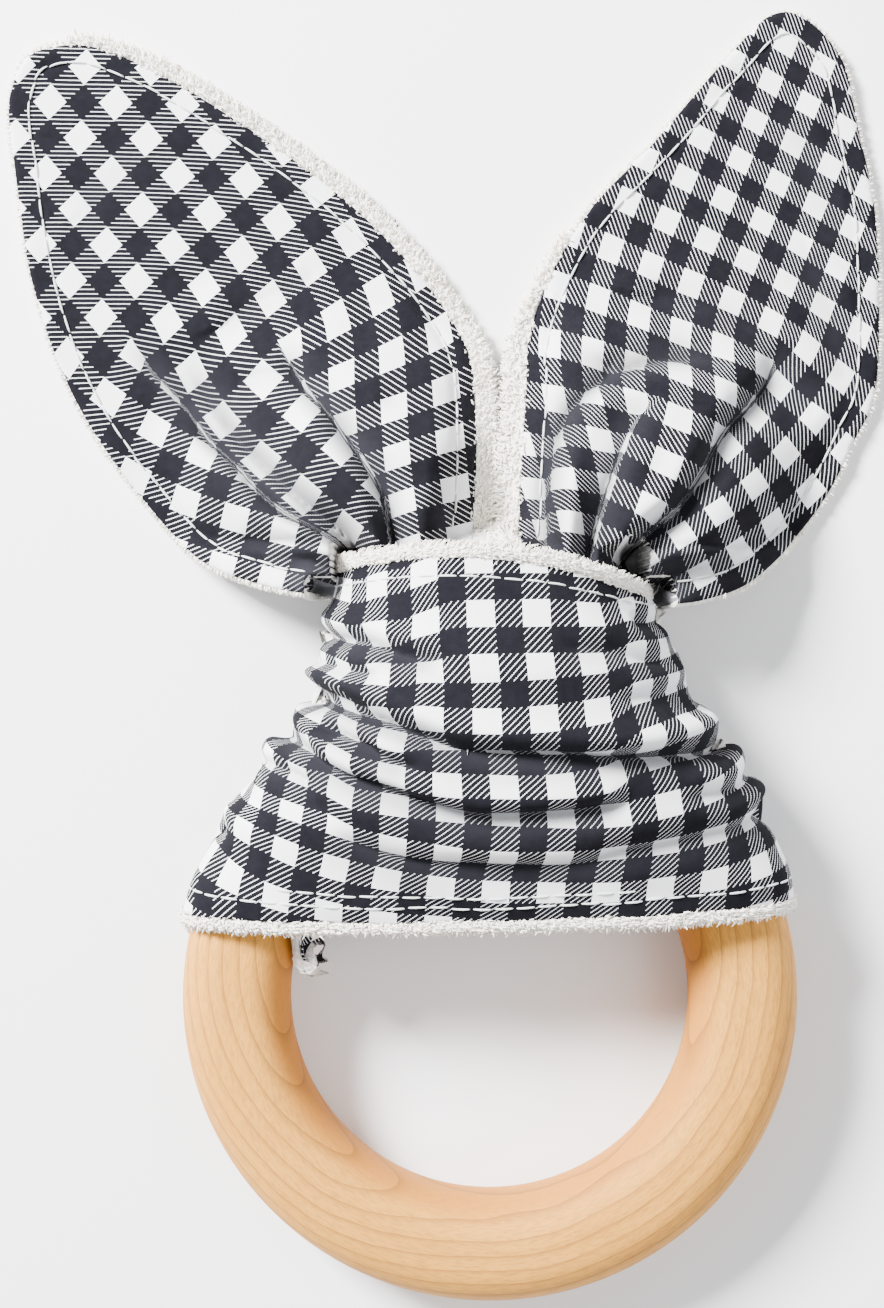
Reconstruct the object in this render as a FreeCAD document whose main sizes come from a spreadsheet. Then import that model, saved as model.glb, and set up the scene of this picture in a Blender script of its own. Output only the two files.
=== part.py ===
"""Teething ring: a turned wooden ring with a two-layer cloth strip hitched through it, its ends left as ears.

Millimetres, +Z up, lying on its back on the plane Z = 0. The origin is where the ring's axis meets that plane,
+X is the toy's right as seen from above and +Y points from the ring towards the ears. The cloth under the ring's
upper arc lifts that side, so the ring and the knot around it are modelled level and then tilted together by
dims.tilt about X.
"""

import FreeCAD
import Part

import math
import os

import Sketcher

V = FreeCAD.Vector

# Driving dimensions, all kept in the sheet. Angles are in degrees, the rest in millimetres.
DIMENSIONS = {
    # the wooden ring
    "ring_diameter": 70.0,
    "ring_width": 12.2,
    "ring_depth": 11.5,
    "ring_rounding": 5.0,
    "tilt": 3.3,
    # the two layers of the cloth strip, and the sleeve that it makes around the ring's section
    "face_thickness": 0.4,
    "backing_thickness": 1.2,
    "sleeve_radius": 6.55,
    "wrap_start": 12.0,
    "wrap_sweep": 68.0,
    # the band across the front: four arched sections from the hem to the mouth that the ears leave by
    "hem_at": 8.0,
    "hem_half_width": 36.2,
    "hem_base": 5.75,
    "hem_shoulder": 13.2,
    "hem_crown": 16.0,
    "lap_at": 20.0,
    "lap_half_width": 31.2,
    "lap_base": 5.75,
    "lap_shoulder": 13.6,
    "lap_crown": 20.0,
    "crown_at": 31.0,
    "crown_half_width": 22.4,
    "crown_base": 5.75,
    "crown_shoulder": 14.0,
    "crown_crown": 23.0,
    "mouth_at": 50.0,
    "mouth_half_width": 17.6,
    "mouth_base": -1.0,
    "mouth_shoulder": 8.0,
    "mouth_crown": 16.5,
    # the gathered necks inside the band
    "neck_from": 15.0,
    "neck_to": 49.5,
    "neck_width": 17.0,
    "neck_gap": 0.6,
    "neck_play": 0.05,
    "neck_face": 0.9,
    # how an ear drops from the knot to the surface: level, then a slope, then flat
    "ear_lift": 11.0,
    "ear_level": 7.0,
    "ear_landing": 26.0,
    "ear_reach": 95.0,
    "ear_root_y": 49.0,
    # the sewing thread
    "thread": 0.3,
    "stitch_width": 0.45,
    "stitch_inset": 2.2,
}
STATIONS = ("hem", "lap", "crown", "mouth")

# Ear outlines seen from above. Each corner is (name, x, y, radius of the arc to the next corner, 0 for a
# straight run, side that the arc bulges to: +1 right of the direction of travel, -1 left).
EARS = {
    "left": {
        "root_x": -8.7,
        "corners": (
            ("neck", -0.4, 53.0, 42.0, 1),
            ("shoulder", -19.0, 95.6, 90.0, 1),
            ("tip_in", -48.0, 111.0, 6.2, 1),
            ("tip_out", -56.3, 105.0, 75.0, 1),
            ("cheek", -49.0, 68.5, 42.0, 1),
            ("lobe", -26.0, 46.4, 0.0, 0),
            ("collar", -20.8, 46.4, 0.0, 0),
            ("heel", -20.8, 53.0, 0.0, 0),
        ),
    },
    "right": {
        "root_x": 9.5,
        "corners": (
            ("neck", 1.2, 53.0, 52.0, -1),
            ("shoulder", 11.8, 91.8, 200.0, -1),
            ("tip_in", 33.4, 114.4, 7.5, -1),
            ("tip_out", 42.2, 108.0, 80.0, -1),
            ("cheek", 45.7, 68.5, 34.0, -1),
            ("lobe", 27.0, 45.4, 0.0, 0),
            ("collar", 21.0, 45.0, 0.0, 0),
            ("heel", 21.0, 53.0, 0.0, 0),
        ),
    },
}
HEIGHT_OF_PRISM = 40.0
DEPTH_BELOW = 10.0

doc = FreeCAD.newDocument("teething_ring")


def make_sheet():
    """The driving dimensions as cells with aliases, the ears' corners among them."""
    values = dict(DIMENSIONS)
    for side, ear in EARS.items():
        values[f"{side}_root_x"] = ear["root_x"]
        for name, x, y, radius, _ in ear["corners"]:
            values[f"{side}_{name}_x"] = x
            values[f"{side}_{name}_y"] = y
            if radius:
                values[f"{side}_{name}_arc"] = radius
    sheet = doc.addObject("Spreadsheet::Sheet", "dims")
    for row, (alias, value) in enumerate(values.items(), 1):
        sheet.set(f"A{row}", alias)
        sheet.set(f"B{row}", str(value))
        sheet.setAlias(f"B{row}", alias)
    doc.recompute()
    return sheet


sheet = make_sheet()


def cell(alias):
    return float(getattr(sheet, alias))


def bind(obj, **expressions):
    """Binds properties to expressions on the sheet. A double underscore in a name stands for a dot."""
    for name, expression in expressions.items():
        obj.setExpression(name.replace("__", "."), str(expression))
    return obj


def section_centre():
    """Distance of the middle of the ring's section from its axis."""
    return "(dims.ring_diameter / 2 - dims.ring_width / 2)"


def lay_on_ring(obj):
    """Places a level piece on the tilted ring: tilted about X, and lifted so that the ring's low side touches
    the surface."""
    bind(
        obj,
        Placement__Rotation__Roll="dims.tilt",
        Placement__Base__z="(dims.ring_diameter / 2 - dims.ring_rounding) * sin(dims.tilt * 1deg)"
        " + dims.ring_rounding * (1 - cos(dims.tilt * 1deg))",
    )
    return obj


# ---------------------------------------------------------------- the ring


def wooden_ring():
    """A revolved rectangle with all four rims rounded."""
    body = doc.addObject("PartDesign::Body", "RingBody")
    body.Label = "wooden_ring"
    sketch = body.newObject("Sketcher::SketchObject", "RingSection")
    plane = next(f for f in body.Origin.OriginFeatures if f.Role == "XZ_Plane")
    sketch.AttachmentSupport = [(plane, "")]
    sketch.MapMode = "FlatFace"
    inner = cell("ring_diameter") / 2 - cell("ring_width")
    outer, top = cell("ring_diameter") / 2, cell("ring_depth")
    corners = [V(inner, 0, 0), V(outer, 0, 0), V(outer, top, 0), V(inner, top, 0)]
    polygon(sketch, corners)
    for i, kind in enumerate(("Horizontal", "Vertical", "Horizontal", "Vertical")):
        sketch.addConstraint(Sketcher.Constraint(kind, i))
    hold_y(sketch, 0, 1, "0", "base")
    hold_x(sketch, 0, 2, "dims.ring_diameter / 2", "outer")
    hold_x(sketch, 0, 1, "dims.ring_diameter / 2 - dims.ring_width", "inner")
    hold_y(sketch, 2, 1, "dims.ring_depth", "top")
    turned = body.newObject("PartDesign::Revolution", "RingBlank")
    turned.Profile = sketch
    turned.ReferenceAxis = (sketch, ["V_Axis"])
    turned.Angle = 360.0
    doc.recompute()
    rounding = body.newObject("PartDesign::Fillet", "RingRounding")
    rims = [f"Edge{i}" for i, e in enumerate(turned.Shape.Edges, 1) if is_circle(e)]
    rounding.Base = (turned, rims)
    bind(rounding, Radius="dims.ring_rounding")
    body.Tip = rounding
    return lay_on_ring(body)


def is_circle(edge):
    return isinstance(edge.Curve, Part.Circle)


# ---------------------------------------------------------------- sketch helpers


def polygon(sketch, corners):
    """Joined straight runs through corners, closed."""
    for i, start in enumerate(corners):
        sketch.addGeometry(Part.LineSegment(start, corners[(i + 1) % len(corners)]), False)
    join_ends(sketch, len(corners))


def join_ends(sketch, count):
    for i in range(count):
        sketch.addConstraint(Sketcher.Constraint("Coincident", i, 2, (i + 1) % count, 1))


def hold(sketch, kind, geometry, point, expression, name):
    """Fixes one coordinate of a point, measured from the sketch's origin, and binds it to the sheet."""
    here = sketch.getPoint(geometry, point)
    value = here.x if kind == "DistanceX" else here.y
    constraint = Sketcher.Constraint(kind, -1, 1, geometry, point, value)
    number = sketch.addConstraint(constraint)
    sketch.renameConstraint(number, name + kind[-1])
    sketch.setExpression(f"Constraints[{number}]", expression)


def hold_x(sketch, geometry, point, expression, name):
    hold(sketch, "DistanceX", geometry, point, expression, name)


def hold_y(sketch, geometry, point, expression, name):
    hold(sketch, "DistanceY", geometry, point, expression, name)


def free_sketch(name):
    return doc.addObject("Sketcher::SketchObject", name)


# ---------------------------------------------------------------- the wraps around the ring's upper arcs


def section_torus(name, radius, sweep="360", turn="0", start=-180.0, stop=180.0):
    """A stretch of torus that follows the ring's section, from turn to turn + sweep round the ring. The section
    runs from angle start to stop, counted from its outermost point down and under."""
    torus = doc.addObject("Part::Torus", name)
    bind(torus, Radius1=section_centre(), Radius2=radius, Angle3=sweep)
    torus.Angle1 = start
    torus.Angle2 = stop
    bind(torus, Placement__Rotation__Yaw=turn, Placement__Base__z="dims.ring_depth / 2")
    return torus


def lower_sleeve(name, radius, sweep="360", turn="0"):
    """The half of a section torus that lies below the middle of the ring's depth."""
    return section_torus(name, radius, sweep, turn, 0.0, 180.0)


def cut(name, base, tool):
    made = doc.addObject("Part::Cut", name)
    made.Base, made.Tool = base, tool
    return made


def common(name, base, tool):
    made = doc.addObject("Part::Common", name)
    made.Base, made.Tool = base, tool
    return made


def wrap_layer(side, layer, inner, outer):
    """One layer of the sleeve that the cloth makes round the ring: outside, underside and inside of its
    section. The underside is pressed flat where it bears on the surface."""
    name = f"{side}_wrap_{layer}"
    sweep = "dims.wrap_sweep"
    turn = "dims.wrap_start" if side == "right" else "180 - dims.wrap_start - dims.wrap_sweep"
    low = lower_sleeve(name + "_outer", outer, sweep, turn)
    hollow = lower_sleeve(name + "_inner", inner, sweep, turn)
    sleeve = lay_on_ring(cut(name + "_sleeve", low, hollow))
    surface = doc.addObject("Part::Box", name + "_surface")
    reach = "dims.ring_diameter * 2"
    bind(surface, Length=reach, Width=reach, Height="dims.ring_depth")
    bind(surface, Placement__Base__x="-dims.ring_diameter", Placement__Base__y="-dims.ring_diameter")
    bind(surface, Placement__Base__z="-dims.ring_depth")
    made = cut(name + "_pressed", sleeve, surface)
    made.Label = name
    return made


# ---------------------------------------------------------------- the band and the necks under it


def arch_section(name, station, inset):
    """One closed arched section of the band: a base, two upright sides and an arc over the crown, all moved in
    by inset."""
    half = f"(dims.{station}_half_width - ({inset}))"
    shoulder = f"(dims.{station}_shoulder - ({inset}))"
    rise = f"(dims.{station}_crown - dims.{station}_shoulder)"
    sketch = free_sketch(name)
    sketch.Placement = FreeCAD.Placement(V(0, 0, 0), FreeCAD.Rotation(V(1, 0, 0), 90))
    amount = sheet_sum(inset)
    w = cell(f"{station}_half_width") - amount
    base = cell(f"{station}_base")
    side = cell(f"{station}_shoulder") - amount
    crown = cell(f"{station}_crown") - amount
    sketch.addGeometry(Part.LineSegment(V(-w, base, 0), V(w, base, 0)), False)
    sketch.addGeometry(Part.LineSegment(V(w, base, 0), V(w, side, 0)), False)
    sketch.addGeometry(Part.Arc(V(w, side, 0), V(0, crown, 0), V(-w, side, 0)), False)
    sketch.addGeometry(Part.LineSegment(V(-w, side, 0), V(-w, base, 0)), False)
    sketch.addConstraint(Sketcher.Constraint("Coincident", 0, 2, 1, 1))
    sketch.addConstraint(Sketcher.Constraint("Coincident", 1, 2, 2, 1))
    sketch.addConstraint(Sketcher.Constraint("Coincident", 2, 2, 3, 1))
    sketch.addConstraint(Sketcher.Constraint("Coincident", 3, 2, 0, 1))
    sketch.addConstraint(Sketcher.Constraint("Horizontal", 0))
    sketch.addConstraint(Sketcher.Constraint("Vertical", 1))
    sketch.addConstraint(Sketcher.Constraint("Vertical", 3))
    hold_x(sketch, 0, 1, f"-{half}", "left")
    hold_x(sketch, 0, 2, half, "right")
    hold_y(sketch, 0, 1, f"dims.{station}_base", "base")
    hold_y(sketch, 1, 2, shoulder, "shoulder")
    hold_y(sketch, 3, 1, shoulder, "shoulder_left")
    radius = (w * w + (crown - side) ** 2) / (2 * (crown - side))
    number = sketch.addConstraint(Sketcher.Constraint("Radius", 2, radius))
    sketch.setExpression(f"Constraints[{number}]", f"({half} * {half} + {rise} * {rise}) / (2 * {rise})")
    bind(sketch, Placement__Base__y=f"dims.{station}_at")
    return sketch


def sheet_sum(expression):
    """The value of a sum of sheet cells, for the first drawing of a sketch."""
    total = 0.0
    for term in expression.replace("-", "+-").split("+"):
        term = term.strip()
        if term:
            sign = -1.0 if term.startswith("-") else 1.0
            word = term.lstrip("- ")
            total += sign * (cell(word[5:]) if word.startswith("dims.") else float(word))
    return total


def arch_loft(name, inset):
    """The solid under the band's surface moved in by inset, through its four sections."""
    loft = doc.addObject("Part::Loft", name)
    loft.Sections = [arch_section(f"{name}_{station}", station, inset) for station in STATIONS]
    loft.Solid = True
    loft.Ruled = False
    return loft


SLEEVE_OUT = "dims.sleeve_radius + dims.backing_thickness + dims.face_thickness"
FACE_IN = "dims.face_thickness"
BACKING_IN = "dims.face_thickness + dims.backing_thickness"
NECK_OUT = BACKING_IN + " + dims.neck_play"
NECK_FACE_IN = NECK_OUT + " + dims.neck_face"


def band_layer(layer, outer, inner):
    """One layer of the band, cut clear of the wraps that it runs on into."""
    name = f"band_{layer}"
    shell = cut(name + "_shell", arch_loft(name + "_over", outer), arch_loft(name + "_under", inner))
    made = cut(name + "_clear", shell, lower_sleeve(name + "_wraps", SLEEVE_OUT))
    made.Label = name
    return lay_on_ring(made)


def crossing_box(name, at, depth):
    """A box right across the band, for the stretch of it from at to at + depth along Y."""
    box = doc.addObject("Part::Box", name)
    bind(box, Length="dims.ring_diameter * 2", Width=depth, Height="dims.ring_diameter")
    bind(box, Placement__Base__x="-dims.ring_diameter", Placement__Base__y=at)
    return box


def band_topstitch():
    """Two rows of sewing near the hem and one near the mouth, as ridges on the face layer."""
    over, under = arch_loft("band_thread_over", "-dims.thread"), arch_loft("band_thread_under", "0")
    skin = cut("band_thread_skin", over, under)
    rows = doc.addObject("Part::MultiFuse", "band_thread_rows")
    spots = {
        "hem_row": "dims.hem_at + dims.stitch_inset",
        "second_hem_row": "dims.hem_at + dims.stitch_inset * 1.6",
        "mouth_row": "dims.mouth_at - dims.stitch_inset",
    }
    rows.Shapes = [crossing_box(name, at, "dims.stitch_width") for name, at in spots.items()]
    made = common("band_thread", skin, rows)
    made.Label = "band_topstitch"
    return lay_on_ring(made)


def neck_room(side, name):
    """The half of the band's inside that one neck fills."""
    box = doc.addObject("Part::Box", name)
    bind(box, Length="dims.neck_width", Width="dims.neck_to - dims.neck_from", Height="dims.ring_diameter")
    start = "dims.neck_gap" if side == "right" else "-dims.neck_gap - dims.neck_width"
    bind(box, Placement__Base__x=start, Placement__Base__y="dims.neck_from")
    bind(box, Placement__Base__z="dims.mouth_base")
    return box


def neck_layer(side, layer, outer, inner):
    """Gathered cloth that fills one half of the band, clear of the ring and its wraps. The face layer is the
    skin under the band, and the backing is the bundle inside it."""
    name = f"{side}_neck_{layer}"
    lump = arch_loft(name + "_over", outer)
    if inner:
        lump = cut(name + "_skin", lump, arch_loft(name + "_under", inner))
    half = common(name + "_half", lump, neck_room(side, name + "_room"))
    made = cut(name + "_lump", half, section_torus(name + "_ring", SLEEVE_OUT))
    made.Label = name
    return lay_on_ring(made)


# ---------------------------------------------------------------- the ears


def bulging_arc(start, end, radius, bulge):
    """The short arc between two points: it bulges right of the way it is drawn for bulge 1, left for -1."""
    chord = end - start
    half = chord.Length / 2
    sagitta = radius - math.sqrt(radius * radius - half * half)
    right = V(chord.y, -chord.x, 0).normalize()
    return Part.Arc(start, (start + end) * 0.5 + right * (sagitta * bulge), end)


def ear_outline(side):
    """The flat outline of one ear, each corner and arc bound to the sheet."""
    sketch = free_sketch(f"{side}_ear_outline")
    corners = EARS[side]["corners"]
    for i, (_, x, y, radius, bulge) in enumerate(corners):
        _, x_next, y_next, _, _ = corners[(i + 1) % len(corners)]
        start, end = V(x, y, 0), V(x_next, y_next, 0)
        edge = bulging_arc(start, end, radius, bulge) if radius else Part.LineSegment(start, end)
        sketch.addGeometry(edge, False)
    for i in range(len(corners)):
        previous = (i - 1) % len(corners)
        _, x, y, _, _ = corners[i]
        joins = nearer_end(sketch, previous, V(x, y, 0)), nearer_end(sketch, i, V(x, y, 0))
        sketch.addConstraint(Sketcher.Constraint("Coincident", previous, joins[0], i, joins[1]))
    for i, (name, x, y, radius, _) in enumerate(corners):
        point = nearer_end(sketch, i, V(x, y, 0))
        hold_x(sketch, i, point, f"dims.{side}_{name}_x", name)
        hold_y(sketch, i, point, f"dims.{side}_{name}_y", name)
        if radius:
            number = sketch.addConstraint(Sketcher.Constraint("Radius", i, radius))
            sketch.setExpression(f"Constraints[{number}]", f"dims.{side}_{name}_arc")
    return sketch


def nearer_end(sketch, geometry, place):
    """1 or 2: the end of an edge nearer a place. A sketch stores every arc anticlockwise."""
    ends = [sketch.getPoint(geometry, n).distanceToPoint(place) for n in (1, 2)]
    return 1 if ends[0] < ends[1] else 2


def ear_prism(name, outline):
    prism = doc.addObject("Part::Extrusion", name)
    prism.Base = outline
    prism.DirMode = "Custom"
    prism.Dir = V(0, 0, 1)
    prism.LengthFwd = HEIGHT_OF_PRISM
    prism.LengthRev = DEPTH_BELOW
    prism.Solid = True
    return prism


def drape(side, name, lower, upper):
    """A sheet between two heights above the surface, turned about the ear's root: level there, then sloping
    down, then flat on the surface."""
    sketch = free_sketch(name + "_profile")
    sketch.Placement = FreeCAD.Placement(V(0, 0, 0), FreeCAD.Rotation(V(1, 0, 0), 90))
    low, high = sheet_sum(lower), sheet_sum(upper)
    lift, level = cell("ear_lift"), cell("ear_level")
    landing, reach = cell("ear_landing"), cell("ear_reach")
    under = [V(0, lift + low, 0), V(level, lift + low, 0), V(landing, low, 0), V(reach, low, 0)]
    over = [V(p.x, p.y - low + high, 0) for p in reversed(under)]
    polygon(sketch, under + over)
    along = ["0", "dims.ear_level", "dims.ear_landing", "dims.ear_reach"]
    up = ["dims.ear_lift + ", "dims.ear_lift + ", "", ""]
    for i in range(8):
        j, height = (i, lower) if i < 4 else (7 - i, upper)
        hold_x(sketch, i, 1, along[j], f"along{i}")
        hold_y(sketch, i, 1, f"{up[j]}{height}", f"up{i}")
    turned = doc.addObject("Part::Revolution", name)
    turned.Source = sketch
    turned.Axis = V(0, 0, 1)
    turned.Angle = 360.0
    turned.Solid = True
    bind(turned, Placement__Base__x=f"dims.{side}_root_x", Placement__Base__y="dims.ear_root_y")
    return turned


def ear_layer(side, layer, outline, lower, upper):
    name = f"{side}_ear_{layer}"
    sheet = drape(side, name + "_drape", lower, upper)
    made = common(name + "_leaf", ear_prism(name + "_prism", outline), sheet)
    made.Label = name
    return made


def ear_topstitch(side, outline):
    """One row of sewing inside the ear's edge, as a ridge on the face layer."""
    name = f"{side}_ear_thread"
    edges = []
    for row, inset in (("out", "-dims.stitch_inset"), ("in", "-dims.stitch_inset - dims.stitch_width")):
        offset = doc.addObject("Part::Offset2D", f"{name}_{row}")
        offset.Source = outline
        bind(offset, Value=inset)
        edges.append(ear_prism(f"{name}_{row}_prism", offset))
    row = cut(name + "_row", *edges)
    sheet = drape(side, name + "_drape", BACKING_IN, BACKING_IN + " + dims.thread")
    made = common(name + "_ridge", row, sheet)
    made.Label = f"{side}_ear_topstitch"
    return made


# ---------------------------------------------------------------- assembly


def build():
    """Every sub-part of the teething ring, as document objects whose Labels are their names."""
    sleeve = "dims.sleeve_radius"
    parts = [
        wooden_ring(),
        band_layer("face", "0", FACE_IN),
        band_layer("backing", FACE_IN, BACKING_IN),
        band_topstitch(),
    ]
    for side in EARS:
        parts += [
            wrap_layer(side, "backing", sleeve, sleeve + " + dims.backing_thickness"),
            wrap_layer(side, "face", sleeve + " + dims.backing_thickness", SLEEVE_OUT),
            neck_layer(side, "face", NECK_OUT, NECK_FACE_IN),
            neck_layer(side, "backing", NECK_FACE_IN, None),
        ]
        outline = ear_outline(side)
        parts += [
            ear_layer(side, "backing", outline, "0", "dims.backing_thickness"),
            ear_layer(side, "face", outline, "dims.backing_thickness", BACKING_IN),
            ear_topstitch(side, outline),
        ]
    return parts


def check_and_write(parts):
    """Stops on any failed feature or bad shape, then writes one STEP file for each sub-part."""
    doc.recompute()
    failed = [f"{o.Name} {o.State}" for o in doc.Objects if {"Invalid", "Error"} & set(o.State)]
    if failed:
        raise RuntimeError("failed features: " + ", ".join(failed))
    os.makedirs("parts", exist_ok=True)
    for old in os.listdir("parts"):
        os.remove(os.path.join("parts", old))
    for part in parts:
        shape = part.Shape
        if shape.isNull() or not shape.isValid() or not shape.Solids:
            raise RuntimeError(f"{part.Label} has no valid solid")
        box = shape.BoundBox
        print(
            f"{part.Label}: {len(shape.Solids)} solid(s), {shape.Volume:.1f} mm3, "
            f"x {box.XMin:.1f}..{box.XMax:.1f} y {box.YMin:.1f}..{box.YMax:.1f} "
            f"z {box.ZMin:.2f}..{box.ZMax:.2f}"
        )
        shape.exportStep(f"parts/{part.Label}.step")


check_and_write(build())
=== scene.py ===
"""Looks for the teething ring: a wooden ring with a gingham and terry strip hitched through it.

Lengths are millimetres in the row frame unless a name ends in _m. "Level" points are measured from the ring
before it is tilted: to_row() carries them over. Cloth positions are (s, t): s along the strip from the middle
of the band towards the right ear, t across it from the band's hem to its top edge, gingham side facing out.
"""

import math

import bpy
import numpy as np
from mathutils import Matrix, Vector
from mathutils.geometry import delaunay_2d_cdt


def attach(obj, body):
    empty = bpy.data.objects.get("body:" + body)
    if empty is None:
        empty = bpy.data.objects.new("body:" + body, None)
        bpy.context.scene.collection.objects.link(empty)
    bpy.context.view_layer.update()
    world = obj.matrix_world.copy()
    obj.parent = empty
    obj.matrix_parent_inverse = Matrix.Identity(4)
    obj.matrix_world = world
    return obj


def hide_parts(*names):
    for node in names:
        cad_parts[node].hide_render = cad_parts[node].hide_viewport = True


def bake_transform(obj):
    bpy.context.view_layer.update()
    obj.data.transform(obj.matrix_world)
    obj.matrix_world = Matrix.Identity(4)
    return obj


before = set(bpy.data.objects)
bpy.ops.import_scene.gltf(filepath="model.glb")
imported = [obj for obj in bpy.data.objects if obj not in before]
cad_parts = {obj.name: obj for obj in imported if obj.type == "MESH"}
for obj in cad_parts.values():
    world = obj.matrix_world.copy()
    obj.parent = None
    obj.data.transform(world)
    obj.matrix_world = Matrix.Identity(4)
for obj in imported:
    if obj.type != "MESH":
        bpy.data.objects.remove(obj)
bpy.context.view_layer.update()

MM = 0.001
TILT = math.radians(3.3)
RING_OUTSIDE = 35.0
RING_ROUNDING = 5.0
RING_MIDLINE = 28.9
RING_MIDDLE = 5.75
SLEEVE = 8.15
LIFT = (RING_OUTSIDE - RING_ROUNDING) * math.sin(TILT) + RING_ROUNDING * (1 - math.cos(TILT))
FACE = 0.4
BACKING = 1.2
LOWEST_CLOTH = 0.15
LOWEST_YARN = 0.02


# ------------------------------------------------------------------ lines and fields


def to_row(points):
    """Level points to the row frame: tilted about X and lifted."""
    x, y, z = np.moveaxis(np.asarray(points, float), -1, 0)
    back = y * math.cos(TILT) - z * math.sin(TILT)
    height = y * math.sin(TILT) + z * math.cos(TILT) + LIFT
    return np.stack([x, back, height], -1)


def curve_through(points, step, closed=False):
    """A smooth line through points, sampled about every step. Columns past the second are carried along."""
    p = np.array(points, float)
    if closed:
        p = np.vstack([p[-1], p, p[:2]])
    else:
        p = np.vstack([2 * p[0] - p[1], p, 2 * p[-1] - p[-2]])
    runs = []
    for a, b, c, d in zip(p[:-3], p[1:-2], p[2:-1], p[3:]):
        gaps = [max(np.linalg.norm(v[:3]), 1e-4) ** 0.5 for v in (b - a, c - b, d - c)]
        knots = np.cumsum([0.0] + gaps)
        count = max(1, round(np.linalg.norm((c - b)[:3]) / step))
        u = np.linspace(knots[1], knots[2], count, endpoint=False)[:, None]
        ab = blend_knots(a, b, knots[0], knots[1], u)
        bc = blend_knots(b, c, knots[1], knots[2], u)
        cd = blend_knots(c, d, knots[2], knots[3], u)
        ac = blend_knots(ab, bc, knots[0], knots[2], u)
        bd = blend_knots(bc, cd, knots[1], knots[3], u)
        runs.append(blend_knots(ac, bd, knots[1], knots[2], u))
    if not closed:
        runs.append(p[-2:-1])
    return np.vstack(runs)


def blend_knots(a, b, start, end, u):
    """The point at u between a, reached at start, and b, reached at end."""
    return (end - u) / (end - start) * a + (u - start) / (end - start) * b


def lengths_along(line):
    return np.concatenate([[0.0], np.cumsum(np.linalg.norm(np.diff(line, axis=0), axis=1))])


def evenly(line, count):
    """The same line as count evenly spaced points."""
    along = lengths_along(line)
    spots = np.linspace(0, along[-1], count)
    return np.stack([np.interp(spots, along, column) for column in line.T], -1)


def offsets_from(line, points):
    """For each plan point: its distance from a line, positive on the line's left, and its place along it,
    0 to 1."""
    a, d = line[:-1], np.diff(line, axis=0)
    length2 = (d * d).sum(1)
    rel = points[:, None] - a[None]
    t = np.clip((rel * d).sum(-1) / length2, 0, 1)
    gap = rel - t[..., None] * d
    nearest = np.argmin((gap * gap).sum(-1), 1)
    rows = np.arange(len(points))
    gap, t, d = gap[rows, nearest], t[rows, nearest], d[nearest]
    side = np.where(d[:, 0] * gap[:, 1] - d[:, 1] * gap[:, 0] >= 0, 1.0, -1.0)
    along = lengths_along(line)
    place = (along[nearest] + t * np.sqrt(length2[nearest])) / along[-1]
    return side * np.hypot(gap[:, 0], gap[:, 1]), place


def unit(vectors):
    return vectors / np.maximum(np.linalg.norm(vectors, axis=-1, keepdims=True), 1e-9)


def smooth(u):
    """0 up to 0 and 1 from 1, with an even ease between."""
    u = np.clip(u, 0, 1)
    return u * u * (3 - 2 * u)


def ripple(points, wavelength, seed):
    """Gentle random waves about 1 high, from a few plane waves with fixed seeds."""
    rng = np.random.default_rng(seed)
    total = np.zeros(len(points))
    for _ in range(7):
        angle = rng.uniform(0, 2 * math.pi)
        length = wavelength * rng.uniform(0.75, 1.4)
        wave = points[:, 0] * math.cos(angle) + points[:, 1] * math.sin(angle)
        total += np.sin(2 * math.pi * wave / length + rng.uniform(0, 2 * math.pi))
    return total / 2.6


def soft_floor(z, floor, softness):
    """z kept above floor without a corner."""
    return floor + softness * np.logaddexp(0, (z - floor) / softness)


def soft_ceiling(z, ceiling, softness):
    return ceiling - softness * np.logaddexp(0, (ceiling - z) / softness)


# ------------------------------------------------------------------ meshes


def new_mesh(name, vertices, faces, material, cloth=None, crease=None):
    """An object from millimetre vertices. cloth is each vertex's place on the strip, kept as a UV map, and
    crease the painted shade it gets from lying in a fold or in the band's mouth, 0 to 1, kept as an
    attribute."""
    mesh = bpy.data.meshes.new(name)
    mesh.from_pydata((np.asarray(vertices) * MM).tolist(), [], faces)
    mesh.polygons.foreach_set("use_smooth", [True] * len(mesh.polygons))
    if crease is not None:
        attribute = mesh.attributes.new("crease", "FLOAT", "POINT")
        attribute.data.foreach_set("value", np.asarray(crease, float))
    if cloth is not None:
        corner = np.empty(len(mesh.loops), np.int32)
        mesh.loops.foreach_get("vertex_index", corner)
        layer = mesh.uv_layers.new(name="cloth")
        layer.data.foreach_set("uv", np.asarray(cloth, float)[corner].ravel())
    mesh.materials.append(material)
    mesh.validate()
    obj = bpy.data.objects.new(name, mesh)
    bpy.context.scene.collection.objects.link(obj)
    return obj


def slab(name, top, bottom, faces, material, cloth=None, crease=None):
    """A sheet with thickness: faces on top, their mirror below and a rim round every edge. Cloth and crease,
    the painted shade, are given for one side and hold for both."""
    n = len(top)
    used = dict.fromkeys((a, b) for face in faces for a, b in zip(face, face[1:] + face[:1]))
    rim = [(b, a, a + n, b + n) for a, b in used if (b, a) not in used]
    under = [tuple(v + n for v in reversed(face)) for face in faces]
    if cloth is not None:
        cloth, crease = np.vstack([cloth, cloth]), np.tile(crease, 2)
    every = list(map(tuple, faces)) + under + rim
    return new_mesh(name, np.vstack([top, bottom]), every, material, cloth, crease)


def grid_faces(rows, columns):
    return [
        [r * columns + c, r * columns + c + 1, (r + 1) * columns + c + 1, (r + 1) * columns + c]
        for r in range(rows - 1)
        for c in range(columns - 1)
    ]


def grid_normals(grid):
    return unit(np.cross(np.gradient(grid, axis=1), np.gradient(grid, axis=0)))


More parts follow.
